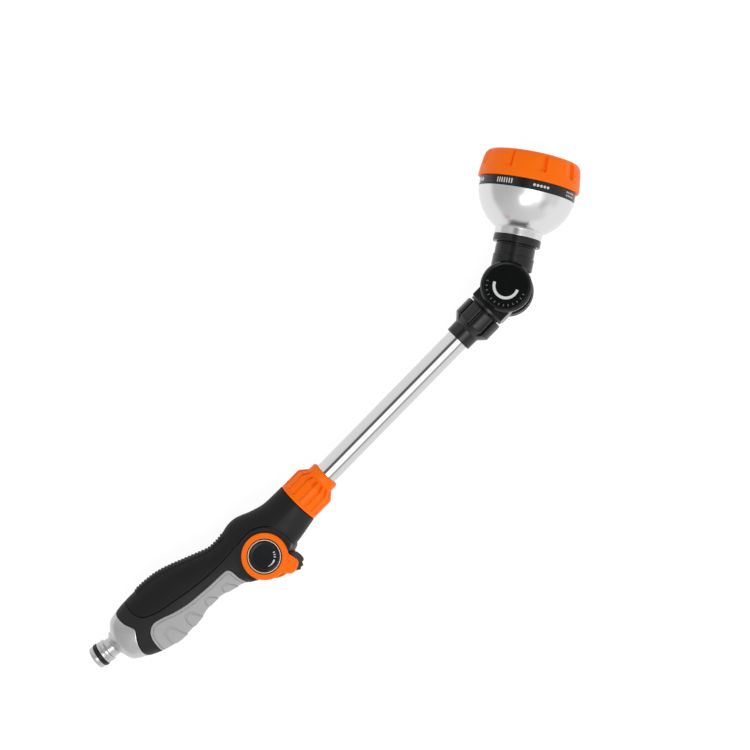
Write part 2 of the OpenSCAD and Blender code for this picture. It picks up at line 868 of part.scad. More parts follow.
module distributor() {
  color("#3c3c3c") on_head() difference() {
    turned([[62, 0], [62, dial_inner_r - fit], [86.6, dial_inner_r - fit], [86.6, 0]]);
    difference() {
      bar_x(26.9, 64.5, 90);
      bar_x(4.6, 60, 80);
      difference() {
        bar_x(20.2, 60, 90);
        bar_x(18.8, 50, 95);
      }
      difference() {
        bar_x(10.8, 60, 90);
        bar_x(9.6, 50, 95);
      }
      for (i = [0:patterns - 1]) rotate([i * 360 / patterns + 180 / patterns, 0, 0]) {
        translate([60, 10, -0.6]) cube([40, 9.5, 1.2]);
      }
    }
    bar_x(2.03, 50, 100);
    difference() {
      bar_x(detent_ring_r + 2, 60, 63.3);
      bar_x(detent_ring_r - 2, 50, 70);
    }
    for (i = [0:patterns - 1]) rotate([i * 360 / patterns, 0, 0]) {
      translate([0, port_ring_r, 0]) bar_x(2.4, 60, 66);
      translate([0, -detent_ring_r, 0]) bar_x(1.2, 60, 63.8);
    }
  }
}

module spray_plate() {
  color("#1e1e1e") on_head() difference() {
    turned([
      [86.7, 0], [86.7, dial_inner_r - 0.1], [90.2, dial_inner_r - 0.1], [90.9, dial_inner_r - 0.9],
      [91.2, 0]
    ]);
    around_x(28) translate([0, 25, 0]) bar_x(0.7, 80, 95);
    around_x(24) translate([0, 22, 0]) bar_x(0.7, 80, 95);
    bar_x(5.05, 80, 95);
    for (a = [45, 135, 225]) rotate([a, 0, 0]) translate([0, 14.5, 0]) bar_x(3.05, 80, 95);
    rotate([315, 0, 0]) translate([0, 14.5, 0]) bar_x(3.85, 80, 95);
    translate([80, 13.2, -3.5]) cube([15, 1.8, 7]);
    translate([80, -14.6, -4]) cube([15, 1, 8]);
    for (side = [-1, 1], v = [-2.4, 0, 2.4]) translate([0, v, side * 14.5]) bar_x(0.8, 80, 95);
  }
}

module jet_nozzle() {
  color("#f26a14") on_head() turned([
    [85, 2.5], [85, 5], [91.8, 5], [92.4, 4.4], [92.4, 1.4], [88, 1.4]
  ]);
}

module mist_nozzles() {
  color("gray") on_head() for (a = [45, 135, 225]) rotate([a, 0, 0]) translate([0, 14.5, 0]) {
    turned([[85.5, 1.6], [85.5, 3], [91.4, 3], [91.4, 0.9], [89, 0.6], [87, 1.6]]);
  }
}

module cone_nozzle() {
  color("gray") on_head() rotate([315, 0, 0]) translate([0, 14.5, 0]) {
    turned([[85.5, 2], [85.5, 3.8], [91.6, 3.8], [91.6, 3.2], [89, 2]]);
    turned([[89, 0], [88, 1.3], [91.2, 1.3], [91.2, 0]]);
  }
}

tail_shell();
hose_tail();
tail_oring();
inlet_seal();
inlet_pipe();
handle_shell_left();
handle_shell_right();
shell_screws();
grip_back();
finger_inlay();
valve_body();
outlet_elbow();
tube_socket();
socket_orings();
tube_collet();
wand_tube();
lever_ring_left();
lever_ring_right();
thumb_bar();
valve_spool();
spool_orings();
lever_screws();
trim_ring_left();
trim_ring_right();
lever_cap_left();
lever_cap_right();
collar_nut();
upper_nut();
upper_collet();
knuckle_oring();
lower_knuckle();
swivel_orings();
upper_knuckle();
swivel_bolt();
swivel_nut();
swivel_cap_left();
swivel_cap_right();
neck_collar();
neck_oring();
bell();
bell_insert();
port_seal();
face_oring();
detent_ball();
detent_spring();
dial_screw();
label_ring();
dial_ring();
distributor();
spray_plate();
jet_nozzle();
mist_nozzles();
cone_nozzle();
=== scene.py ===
"""The looks of the watering wand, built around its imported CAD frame.

Lengths of pieces are in millimetres until a mesh is made, and the camera, floor and light are set
in metres. Each group of pieces has its own place: the tube's axis, the hose tail's axis, the
valve's axis, or the swivel's pivot along the tube or along the head.
"""

import json
import math

import bmesh
import bpy
import numpy as np
from mathutils import Matrix, Vector


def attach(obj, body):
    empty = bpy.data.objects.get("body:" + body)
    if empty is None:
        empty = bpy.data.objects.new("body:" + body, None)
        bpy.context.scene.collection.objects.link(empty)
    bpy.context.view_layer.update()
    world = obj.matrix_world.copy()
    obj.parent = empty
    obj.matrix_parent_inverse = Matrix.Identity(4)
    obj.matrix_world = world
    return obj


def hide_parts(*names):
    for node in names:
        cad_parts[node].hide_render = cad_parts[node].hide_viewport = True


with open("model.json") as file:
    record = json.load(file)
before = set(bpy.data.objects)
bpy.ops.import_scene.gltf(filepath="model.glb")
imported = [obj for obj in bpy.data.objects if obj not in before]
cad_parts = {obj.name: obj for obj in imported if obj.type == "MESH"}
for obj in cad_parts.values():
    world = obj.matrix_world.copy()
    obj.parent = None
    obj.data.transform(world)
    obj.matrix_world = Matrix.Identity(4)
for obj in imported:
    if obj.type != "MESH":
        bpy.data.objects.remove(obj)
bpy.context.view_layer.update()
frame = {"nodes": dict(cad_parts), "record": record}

MM = 0.001
TAU = 2 * math.pi
SIDES = ((1, "left"), (-1, "right"))


# ---------------------------------------------------------------- places

def place(x=0.0, y=0.0, degrees=0.0):
    """A place in the shared frame: its origin in millimetres and its turn about Z in degrees."""
    c, s = math.cos(math.radians(degrees)), math.sin(math.radians(degrees))
    return np.array([[c, -s, 0, x], [s, c, 0, y], [0, 0, 1, 0], [0, 0, 0, 1.0]])


TUBE_Y = -24.5
PIVOT_X = 377.3
VALVE_X, VALVE_Y = 135.1, -11.3
TUBE = place(0, TUBE_Y)
TAIL = place(0, 0, -10)
VALVE = place(VALVE_X, VALVE_Y + TUBE_Y)
HEAD_TILT = 33
HEAD = place(PIVOT_X, TUBE_Y, HEAD_TILT)


# ---------------------------------------------------------------- camera, light and floor

CAMERA_AT = Vector((0.3177, -0.1699, 1.429))
LOOK_AT = Vector((0.2731, -0.0012, 0.0))
VIEW_ANGLE = 20.047
TUBE_SLOPE = 45.628


def aim_camera():
    """The camera stands over the wand, turned so that the tube climbs to the right."""
    cam = bpy.data.objects.new("camera", bpy.data.cameras.new("camera"))
    bpy.context.scene.collection.objects.link(cam)
    back = (CAMERA_AT - LOOK_AT).normalized()
    along = Vector((1, 0, 0))
    along = (along - along.dot(back) * back).normalized()
    across = back.cross(along)
    turn = math.radians(TUBE_SLOPE)
    right = math.cos(turn) * along - math.sin(turn) * across
    up = math.sin(turn) * along + math.cos(turn) * across
    cam.matrix_world = Matrix((right, up, back)).transposed().to_4x4()
    cam.location = CAMERA_AT
    cam.data.sensor_width = 36
    cam.data.angle = math.radians(VIEW_ANGLE)
    cam.data.clip_start, cam.data.clip_end = 0.05, 20
    bpy.context.scene.camera = cam


aim_camera()


def build_world():
    """A soft studio all round: pale walls, and over the tube a bright bank with a dark gap beside it."""
    world = bpy.data.worlds.new("studio")
    bpy.context.scene.world = world
    world.use_nodes = True
    nodes, links = world.node_tree.nodes, world.node_tree.links
    nodes.clear()
    where = nodes.new("ShaderNodeTexCoord")
    axes = nodes.new("ShaderNodeSeparateXYZ")
    links.new(where.outputs["Generated"], axes.inputs["Vector"])

    def bands(output, stops):
        """Brightness along one axis of the view direction, through (component, value) stops."""
        share = nodes.new("ShaderNodeMapRange")
        share.inputs["From Min"].default_value = -1
        share.inputs["From Max"].default_value = 1
        ramp = nodes.new("ShaderNodeValToRGB")
        while len(ramp.color_ramp.elements) < len(stops):
            ramp.color_ramp.elements.new(0.5)
        for element, (at, value) in zip(ramp.color_ramp.elements, stops):
            element.position = (at + 1) / 2
            element.color = (value, value, value, 1)
        links.new(axes.outputs[output], share.inputs["Value"])
        links.new(share.outputs["Result"], ramp.inputs["Fac"])
        return ramp.outputs["Color"]

    across = bands("Y", [
        (-0.96, 0.48), (-0.87, 0.2), (-0.8, 0.3), (-0.72, 0.7), (-0.5, 1), (-0.15, 0.9), (-0.05, 0.42),
        (0.05, 0.07), (0.33, 0.07), (0.5, 0.46), (1, 0.48),
    ])
    near = bands("X", [(-0.26, 0), (-0.12, 1), (0.1, 1), (0.24, 0)])
    walls = bands("Y", [(-1, 0.4), (-0.3, 0.34), (0.5, 0.26), (1, 0.28)])
    mix = nodes.new("ShaderNodeMix")
    mix.data_type = "RGBA"
    links.new(near, mix.inputs["Factor"])
    links.new(walls, mix.inputs["A"])
    links.new(across, mix.inputs["B"])
    light = nodes.new("ShaderNodeBackground")
    light.inputs["Strength"].default_value = 2.2
    out = nodes.new("ShaderNodeOutputWorld")
    links.new(mix.outputs["Result"], light.inputs["Color"])
    links.new(light.outputs["Background"], out.inputs["Surface"])


build_world()
bpy.context.scene.view_settings.view_transform = "Standard"

FLOOR_Z = -0.035
FLOOR_REACH = 6.0


def build_floor():
    """A plain pale floor under the wand, with a glow of its own that keeps it nearly white."""
    mesh = bpy.data.meshes.new("floor")
    signs = ((-1, -1), (1, -1), (1, 1), (-1, 1))
    corners = [(x * FLOOR_REACH, y * FLOOR_REACH, FLOOR_Z) for x, y in signs]
    mesh.from_pydata(corners, [], [(0, 1, 2, 3)])
    floor = bpy.data.objects.new("floor", mesh)
    bpy.context.scene.collection.objects.link(floor)
    mat = bpy.data.materials.new("pale_floor")
    mat.use_nodes = True
    shader = mat.node_tree.nodes["Principled BSDF"]
    shader.inputs["Base Color"].default_value = (0.2, 0.2, 0.2, 1)
    shader.inputs["Roughness"].default_value = 0.9
    shader.inputs["Specular IOR Level"].default_value = 0.0
    shader.inputs["Emission Color"].default_value = (1, 1, 1, 1)
    shader.inputs["Emission Strength"].default_value = 0.88
    mesh.materials.append(mat)


build_floor()


# ---------------------------------------------------------------- materials

def material(
    name, color, rough=0.4, metallic=0.0, mottle=0.06, grain=0.0, grain_size=0.25,
    streaks=None, specular=0.5, rough_spread=0.05,
):
    """A procedural finish. mottle varies the colour, grain is the height in mm of a fine surface
    texture of grain_size mm, and streaks stretches it along one axis as (x, y, z) factors."""
    mat = bpy.data.materials.new(name)
    mat.use_nodes = True
    nodes, links = mat.node_tree.nodes, mat.node_tree.links
    shader = nodes["Principled BSDF"]
    shader.inputs["Metallic"].default_value = metallic
    shader.inputs["Specular IOR Level"].default_value = specular
    where = nodes.new("ShaderNodeTexCoord")
    spread = nodes.new("ShaderNodeMapping")
    spread.inputs["Scale"].default_value = streaks or (1, 1, 1)
    links.new(where.outputs["Object"], spread.inputs["Vector"])

    def noise(scale, detail, rough_noise=0.55):
        """A noise texture in the object's own coordinates."""
        n = nodes.new("ShaderNodeTexNoise")
        n.inputs["Scale"].default_value = scale
        n.inputs["Detail"].default_value = detail
        n.inputs["Roughness"].default_value = rough_noise
        links.new(spread.outputs["Vector"], n.inputs["Vector"])
        return n

    broad = noise(60, 3)
    fine = noise(900, 2)
    tone = nodes.new("ShaderNodeMix")
    tone.data_type = "RGBA"
    low = [c * (1 - mottle) for c in color]
    high = [min(1.0, c * (1 + mottle)) for c in color]
    tone.inputs["A"].default_value = (*low, 1)
    tone.inputs["B"].default_value = (*high, 1)
    links.new(broad.outputs["Fac"], tone.inputs["Factor"])
    links.new(tone.outputs["Result"], shader.inputs["Base Color"])
    gloss = nodes.new("ShaderNodeMapRange")
    gloss.inputs["From Min"].default_value = 0.3
    gloss.inputs["From Max"].default_value = 0.7
    gloss.inputs["To Min"].default_value = max(0.02, rough - rough_spread)
    gloss.inputs["To Max"].default_value = min(1.0, rough + rough_spread)
    links.new(fine.outputs["Fac"], gloss.inputs["Value"])
    links.new(gloss.outputs["Result"], shader.inputs["Roughness"])
    if grain:
        texture = noise(1000 / grain_size, 2, 0.6)
        bump = nodes.new("ShaderNodeBump")
        bump.inputs["Strength"].default_value = 1.0
        bump.inputs["Distance"].default_value = grain * MM
        links.new(texture.outputs["Fac"], bump.inputs["Height"])
        links.new(bump.outputs["Normal"], shader.inputs["Normal"])
    return mat


ORANGE = material(
    "orange_plastic", (1, 0.158, 0.001), 0.4, specular=0.12, mottle=0.04, grain=0.006, grain_size=0.5,
)
BLACK = material(
    "black_plastic", (0.025, 0.0252, 0.025), 0.42, specular=0.07, mottle=0.08, grain=0.008, grain_size=0.35,
)
SLEEK = material(
    "sleek_black", (0.006, 0.0062, 0.0064), 0.24, specular=0.4, mottle=0.08, grain=0.003, grain_size=0.5,
)
SOFT = material(
    "soft_grip", (0.0085, 0.0085, 0.0085), 0.6, specular=0.2, mottle=0.12, grain=0.02, grain_size=0.4,
)
GLOSS = material("gloss_black", (0.0035, 0.0045, 0.004), 0.1, specular=0.25, mottle=0.1)
# Black lever plastic; its reddish-brown tint is painted orange bounce light from the lever, not the plastic's
# own colour.
LEVER = material(
    "lever_black", (0.028, 0.013, 0.01), 0.6, specular=0.03, mottle=0.15, grain=0.01, grain_size=0.4,
)
INLAY = material(
    "grey_inlay", (0.385, 0.385, 0.388), 0.6, specular=0.15, mottle=0.03, grain=0.012, grain_size=0.45,
)
CAP = material("cap_black", (0.011, 0.0128, 0.0135), 0.14, specular=0.25, mottle=0.1)
SILVER = material(
    "silver_plastic", (0.52, 0.522, 0.525), 0.3, metallic=0.85, specular=0.3, mottle=0.02, rough_spread=0.005,
)
BELL = material("bell_metal", (0.7, 0.7, 0.702), 0.24, metallic=0.95, mottle=0.015, rough_spread=0.004)
CHROME = material(
    "chrome_tube", (0.62, 0.622, 0.622), 0.06, metallic=1.0, mottle=0.01, rough_spread=0.02,
    grain=0.0003, grain_size=1.0, streaks=(0.04, 1, 1),
)
WHITE = material("white_plastic", (0.72, 0.63, 0.58), 0.35, mottle=0.02, grain=0.005, grain_size=0.5)
PRINT = material("white_print", (0.62, 0.63, 0.63), 0.5, mottle=0.05, grain=0.004, grain_size=0.3)
FAINT = material("faint_print", (0.1, 0.1, 0.1), 0.5, mottle=0.15, grain=0.004, grain_size=0.3)
SEAL = material(
    "seal_rubber", (0.006, 0.006, 0.006), 0.4, specular=0.3, mottle=0.15, grain=0.006, grain_size=0.4,
)
STEEL = material("steel", (0.6, 0.6, 0.6), 0.28, metallic=1.0, mottle=0.04, grain=0.002, grain_size=0.3)
INNER = material("inner_plastic", (0.05, 0.05, 0.053), 0.45, mottle=0.1, grain=0.01, grain_size=0.4)
NOZZLE = material("nozzle_grey", (0.3, 0.3, 0.3), 0.42, mottle=0.05, grain=0.006, grain_size=0.4)

SLOT_LOOKS = {
    "silver_plastic": SILVER, "black_plastic": BLACK, "soft_grip": SOFT, "grey_inlay": INLAY,
    "orange_plastic": ORANGE, "lever_black": LEVER, "gloss_black": GLOSS, "white_plastic": WHITE,
    "inner_plastic": INNER, "nozzle_grey": NOZZLE, "seal_rubber": SEAL, "chrome_tube": CHROME,
    "bell_metal": BELL, "steel": STEEL,
}


def dress_cad_nodes():
    """Each CAD node takes the full finish of its slot."""
    for row in frame["record"]["subparts"]:
        data = frame["nodes"][row["node"]].data
        for i in range(len(data.materials)):
            data.materials[i] = SLOT_LOOKS[row["material_slot"]]


dress_cad_nodes()


# ---------------------------------------------------------------- mesh tools

CORNER_POINTS = 5


def make(name, points, faces, look, body, where, nodes=(), sharp=38):
    """One closed or open mesh from points in mm at a place. It rides on body and replaces nodes."""
    points = np.asarray(points, float)
    world = points @ where[:3, :3].T + where[:3, 3]
    mesh = bpy.data.meshes.new(name)
    mesh.from_pydata((world * MM).tolist(), [], [list(map(int, f)) for f in faces])
    bm = bmesh.new()
    bm.from_mesh(mesh)
    bmesh.ops.remove_doubles(bm, verts=bm.verts, dist=1e-7)
    bmesh.ops.dissolve_degenerate(bm, dist=1e-8, edges=bm.edges)
    bmesh.ops.recalc_face_normals(bm, faces=bm.faces)
    bm.to_mesh(mesh)
    bm.free()
    mesh.polygons.foreach_set("use_smooth", [True] * len(mesh.polygons))
    mesh.set_sharp_from_angle(angle=math.radians(sharp))
    mesh.materials.append(look)
    obj = bpy.data.objects.new(name, mesh)
    bpy.context.scene.collection.objects.link(obj)
    even = obj.modifiers.new("even_normals", "WEIGHTED_NORMAL")
    even.keep_sharp = True
    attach(obj, body)
    if nodes:
        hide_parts(*nodes)


def grid_faces(rows, cols, wrap_cols=True, wrap_rows=False, start=0):
    """Quads of a grid whose columns run round the section."""
    i = np.arange(rows if wrap_rows else rows - 1)[:, None]
    j = np.arange(cols if wrap_cols else cols - 1)[None, :]
    i2, j2 = (i + 1) % rows, (j + 1) % cols
    quads = np.stack([i * cols + j, i * cols + j2, i2 * cols + j2, i2 * cols + j], -1)
    return (quads.reshape(-1, 4) + start).tolist()


def fillet(points, radius):
    """A closed outline with its corners rounded. A point may carry its own radius as a third number."""
    flat = [np.array(p[:2], float) for p in points]
    out = []
    for i, p in enumerate(flat):
        a, b = flat[i - 1], flat[(i + 1) % len(flat)]
        to_a, to_b = a - p, b - p
        long_a, long_b = np.linalg.norm(to_a), np.linalg.norm(to_b)
        cut = min(points[i][2] if len(points[i]) > 2 else radius, 0.45 * long_a, 0.45 * long_b)
        if cut < 1e-3:
            out.append(p)
            continue
        first, last = p + to_a / long_a * cut, p + to_b / long_b * cut
        for t in np.linspace(0, 1, CORNER_POINTS):
            out.append((1 - t) ** 2 * first + 2 * t * (1 - t) * p + t * t * last)
    return np.array(out)


def refine(outline, step):
    """The closed outline with extra points, so that none is more than step from the next."""
    out = []
    for i, a in enumerate(outline):
        b = outline[(i + 1) % len(outline)]
        n = max(1, math.ceil(np.linalg.norm(b - a) / step))
        out += [a + (b - a) * k / n for k in range(n)]
    return np.array(out)


def lathe(
    name, profile, look, body, where, nodes=(), radius=0.4, around=128, shape=None, step=None,
    sharp=38, axis="x",
):
    """Turns a closed outline of (distance along the axis, radius) points. shape changes the radius
    by place and angle: shape(x, r, angle) takes and gives arrays."""
    outline = fillet(profile, radius)
    if step:
        outline = refine(outline, step)
    angle = np.arange(around) * TAU / around
    x = np.repeat(outline[:, 0][:, None], around, 1)
    r = np.repeat(outline[:, 1][:, None], around, 1)
    turn = np.repeat(angle[None, :], len(outline), 0)
    if shape:
        r = shape(x, r, turn)
    points = axis_points(x, r, turn, axis)
    faces = grid_faces(len(outline), around, wrap_rows=True)
    make(name, points, faces, look, body, where, nodes, sharp)


def axis_points(x, r, turn, axis):
    """Points about the X axis, angles from +Z towards +Y, or about the Z axis, from +X towards +Y."""
    if axis == "x":
        return np.stack([x, r * np.sin(turn), r * np.cos(turn)], -1).reshape(-1, 3)
    return np.stack([r * np.cos(turn), r * np.sin(turn), x], -1).reshape(-1, 3)


def prism(name, outline, levels, look, body, where, nodes=(), sharp=38):
    """A closed outline carried through levels of (z, inset), with flat ends."""
    outline = np.asarray(outline, float)
    ahead, behind = np.roll(outline, -1, 0), np.roll(outline, 1, 0)
    run = ahead - behind
    run /= np.maximum(np.linalg.norm(run, axis=1), 1e-9)[:, None]
    area = 0.5 * np.sum(outline[:, 0] * ahead[:, 1] - ahead[:, 0] * outline[:, 1])
    inward = np.stack([-run[:, 1], run[:, 0]], -1) * (1 if area > 0 else -1)
    rows = [np.column_stack([outline + inward * inset, np.full(len(outline), z)]) for z, inset in levels]
    count = len(outline)
    faces = grid_faces(len(levels), count)
    faces.append(list(range(count)))
    faces.append([(len(levels) - 1) * count + k for k in range(count)][::-1])
    make(name, np.concatenate(rows), faces, look, body, where, nodes, sharp)


def on_side(side, profile):
    """An outline of (distance along Z, radius) points on the near side (1) or the far side (-1)."""
    return [(side * z, r) for z, r in profile]


def bevelled(low, high, bevel):
    """Levels of a prism whose two ends have rounded edges."""
    turn = np.linspace(0, math.pi / 2, 5)
    bottom = [(low + bevel * (1 - math.sin(t)), bevel * (1 - math.cos(t))) for t in turn[::-1]]
    top = [(high - bevel * (1 - math.sin(t)), bevel * (1 - math.cos(t))) for t in turn]
    return bottom + top


def smooth(v, low, high):
    """Eases from 0 to 1 as v goes from low to high."""
    t = np.clip((v - low) / (high - low), 0, 1)
    return t * t * (3 - 2 * t)


def off_pitch(angle, start, pitch):
    """Signed distance in degrees from the nearest of the marks at start + n * pitch."""
    return (np.degrees(angle) - start + pitch / 2) % pitch - pitch / 2


# ---------------------------------------------------------------- the handle's form

BACK_LINE = np.array([
    (18.5, 28), (20.5, 28.6), (21.5, 30), (23.5, 30.4), (25.2, 32.7), (27.2, 34.8), (29.5, 35.8),
    (33, 36.4), (41, 37.3), (56, 37.3), (66, 36.6), (74, 35.2), (82, 32.6), (92, 28.6),
    (102, 24.6), (110, 21.6), (117, 21.2), (122, 21.6), (127, 23.1), (132, 23.7), (137, 23.2),
    (142, 21.4), (147, 19.2), (157, 16.2), (167, 15.6), (174.3, 15.5),
])
FRONT_LINE = np.array([
    (18.5, 15.3), (20.2, 10.6), (21.2, 6.5), (24.2, 3), (27.2, 1), (31, -1.5), (38, -4.7),
    (46, -7.1), (54, -8.4), (66, -8.4), (74, -7.6), (80, -6.5), (90, -6.5), (96, -7.8),
    (104, -10.1), (110, -12.2), (114, -15.1), (118, -17.5), (121, -18.3), (124, -20.2),
    (128, -22.4), (134, -23.5), (140, -22.9), (145, -20.9), (150, -19.6), (152.5, -19.1),
    (154.5, -18.6), (160, -17.9), (174.3, -15.5),
])
HALF_WIDTH = np.array([
    (18.5, 6.5), (21, 9), (24, 12.5), (28, 14.5), (33, 15.3), (45, 16), (70, 16.2), (90, 15.6),
    (105, 15.2), (118, 15.2), (155, 15.2), (174.3, 15.5),
])
WAVE_LINE = np.array([
    (35, 45), (34.2, 35.5), (33.8, 32.4), (34.1, 28.5), (34.8, 24.4), (36.5, 20.3), (37.3, 17.8),
    (36.5, 15.3), (33.9, 11.9), (31.7, 8.5), (30.1, 4.8), (29.3, 2.1), (29.2, -8),
])
GRIP_LINE = np.array([
    (44.6, 37.3), (43.9, 31), (43.9, 27), (44.8, 23), (47.1, 19.2), (52.1, 16.2), (57.1, 14.3),
    (62.1, 13.1), (70, 11.7), (80, 9.8), (90, 8.3), (100, 7.5), (110, 7.4), (117, 7.6), (124, 8),
    (129, 8.4), (133.3, 8.7), (138.6, 8.5), (143.6, 6.9), (148, 4.1), (151.6, 0.2), (154, -1),
    (160, -1.4), (174.3, -1.4),
])
INLAY_LINE = np.array([
    (38.3, -4.7), (39.4, -1.4), (40.7, 3.3), (42.9, 7.4), (46.1, 9.9), (49.3, 10.8),
    (52.6, 10.3), (57.5, 8.7), (65, 5.9), (74.7, 3.5), (84.6, 2.4), (94.5, 1.6), (107.2, 1.1),
    (110.2, 0), (111.5, -2.6), (111.6, -8.2), (112.4, -12.9),
])
HANDLE_START, HANDLE_END = 18.5, 174.3


def along_line(line, x):
    """Height of a smooth curve through the line's points, for an array of x."""
    px, py = line[:, 0], line[:, 1]
    slope = np.empty(len(line))
    slope[1:-1] = (py[2:] - py[:-2]) / (px[2:] - px[:-2])
    slope[0] = (py[1] - py[0]) / (px[1] - px[0])
    slope[-1] = (py[-1] - py[-2]) / (px[-1] - px[-2])
    x = np.clip(x, px[0], px[-1])
    i = np.clip(np.searchsorted(px, x, side="right") - 1, 0, len(px) - 2)
    span = px[i + 1] - px[i]
    t = (x - px[i]) / span
    return (
        py[i] * (1 + 2 * t) * (1 - t) ** 2 + py[i + 1] * t * t * (3 - 2 * t)
        + span * slope[i] * t * (1 - t) ** 2 - span * slope[i + 1] * t * t * (1 - t)
    )


def smooth_path(points, steps=8):
    """Rounded path through points."""
    p = np.asarray(points, float)
    out = []
    for i in range(len(p) - 1):
        a, b, c, d = p[max(i - 1, 0)], p[i], p[i + 1], p[min(i + 2, len(p) - 1)]
        for t in np.arange(steps) / steps:
            square, cube = 2 * a - 5 * b + 4 * c - d, 3 * b - a - 3 * c + d
            out.append(0.5 * (2 * b + (c - a) * t + square * t * t + cube * t ** 3))
    out.append(p[-1])
    return np.array(out)


def section(x):
    """Middle height, half height, half width and roundness of the handle at x."""
    high, low = along_line(BACK_LINE, x), along_line(FRONT_LINE, x)
    square = 2.3 - 0.22 * smooth(x, 150, 168)
    return (high + low) / 2, (high - low) / 2, along_line(HALF_WIDTH, x), square


def handle_point(x, turn, depth=0.0):
    """Points of the handle's surface at x and at an angle from +Y towards +Z, moved in by depth."""
    mid, tall, half, square = section(x)
    c, s = np.cos(turn), np.sin(turn)
    y = mid + (tall - depth) * np.sign(c) * np.abs(c) ** (2 / square)
    z = (half - depth) * np.sign(s) * np.abs(s) ** (2 / square)
    return np.stack(np.broadcast_arrays(x, y, z), -1)


def turn_at(x, y):
    """Angle of the surface point that has height y, on the side above Z = 0."""
    mid, tall, _, square = section(x)
    c = np.clip((y - mid) / tall, -1, 1)
    return np.arccos(np.sign(c) * np.abs(c) ** (square / 2))


WAVE_PATH = smooth_path(WAVE_LINE)
GRIP_PATH = smooth_path(GRIP_LINE)
INLAY_PATH = smooth_path(INLAY_LINE)
GRIP_REGION = np.vstack([GRIP_PATH, [(178, -1.4), (178, 50), (44.6, 50)]])
INLAY_REGION = np.vstack([INLAY_PATH, [(113, -25), (38, -25)]])


def wave_x(turn, shift=0.0):
    """Where the edge between the tail shell and the handle crosses each angle."""
    x = np.full_like(turn, 34.0)
    for _ in range(30):
        y = handle_point(x, turn)[..., 1]
        x = 0.5 * x + 0.5 * np.interp(-y, -WAVE_PATH[:, 1], WAVE_PATH[:, 0])
    return x + shift


def even_turns(count):
    """Angles round the handle, evenly spread along its girth, with close ones beside the seam."""
    fine = np.arange(4096) * TAU / 4096
    p = handle_point(np.full_like(fine, 80.0), fine)
    girth = np.concatenate([[0], np.cumsum(np.linalg.norm(np.diff(p, axis=0, append=p[:1]), axis=1))])
    turns = np.interp(np.linspace(0, girth[-1], count, endpoint=False), girth, np.append(fine, TAU))
    near = np.radians([-1.2, -0.75, -0.5, 0, 0.5, 0.75, 1.2])
    keep = [t for t in turns if min(abs(t), abs(t - math.pi), abs(t - TAU)) > math.radians(1.6)]
    return np.array(sorted(list(np.mod(near, TAU)) + list(near + math.pi) + keep))


def seam_depth(z):
    """Depth of the fine groove where the two halves of the handle meet."""
    return 0.25 * smooth(-np.abs(z), -0.34, -0.12)


def region_distance(points, outline):
    """Distance from the outline in side view, positive outside it."""
    a, b = outline, np.roll(outline, -1, 0)
    flat = points.reshape(-1, 2)
    best = np.full(len(flat), 1e9)
    inside = np.zeros(len(flat), bool)
    for (ax, ay), (bx, by) in zip(a, b):
        ex, ey = bx - ax, by - ay
        t = np.clip(((flat[:, 0] - ax) * ex + (flat[:, 1] - ay) * ey) / (ex * ex + ey * ey + 1e-12), 0, 1)
        best = np.minimum(best, np.hypot(flat[:, 0] - ax - t * ex, flat[:, 1] - ay - t * ey))
        if ay != by:
            level = (ay > flat[:, 1]) != (by > flat[:, 1])
            inside ^= level & (flat[:, 0] < ex * (flat[:, 1] - ay) / ey + ax)
    return np.where(inside, -best, best).reshape(points.shape[:-1])


SHELL_OVERHANG = 1.9


def build_tail_shell():
    """Silver shell that carries the hose tail, with a rounded lip at the wavy edge. Its rear end is
    drawn out by SHELL_OVERHANG towards the hose tail."""
    turns = even_turns(200)
    edge = wave_x(turns)
    x_rows, depths = [], []
    rear, wall, lip = 18.75, 4.5, 0.7
    for x, depth in ((19.4, wall), (HANDLE_START, wall), (HANDLE_START, 0.9), (18.56, 0.4), (rear, 0.12)):
        x_rows.append(np.full_like(turns, x))
        depths.append(depth)
    for share in np.linspace(0.008, 1, 60):
        x_rows.append(rear + (edge - lip - rear) * share)
        depths.append(0.0)
    for t in np.linspace(0, math.pi / 2, 6)[1:]:
        x_rows.append(edge - lip + lip * math.sin(t))
        depths.append(lip * (1 - math.cos(t)))
    for depth in (1.6, 2.4):
        x_rows.append(edge.copy())
        depths.append(depth)
    x_rows.append(edge - 3)
    depths.append(2.4)
    x = np.array(x_rows)
    turn = np.broadcast_to(turns, x.shape)
    depth = np.array(depths)[:, None] + seam_depth(handle_point(x, turn)[..., 2])
    points = handle_point(x, turn, depth)
    points[..., 0] -= SHELL_OVERHANG * (1 - smooth(points[..., 0], HANDLE_START, 30))
    make(
        "tail_shell", points.reshape(-1, 3), grid_faces(*x.shape), SILVER, "handle", TUBE,
        ["tail_shell"],
    )


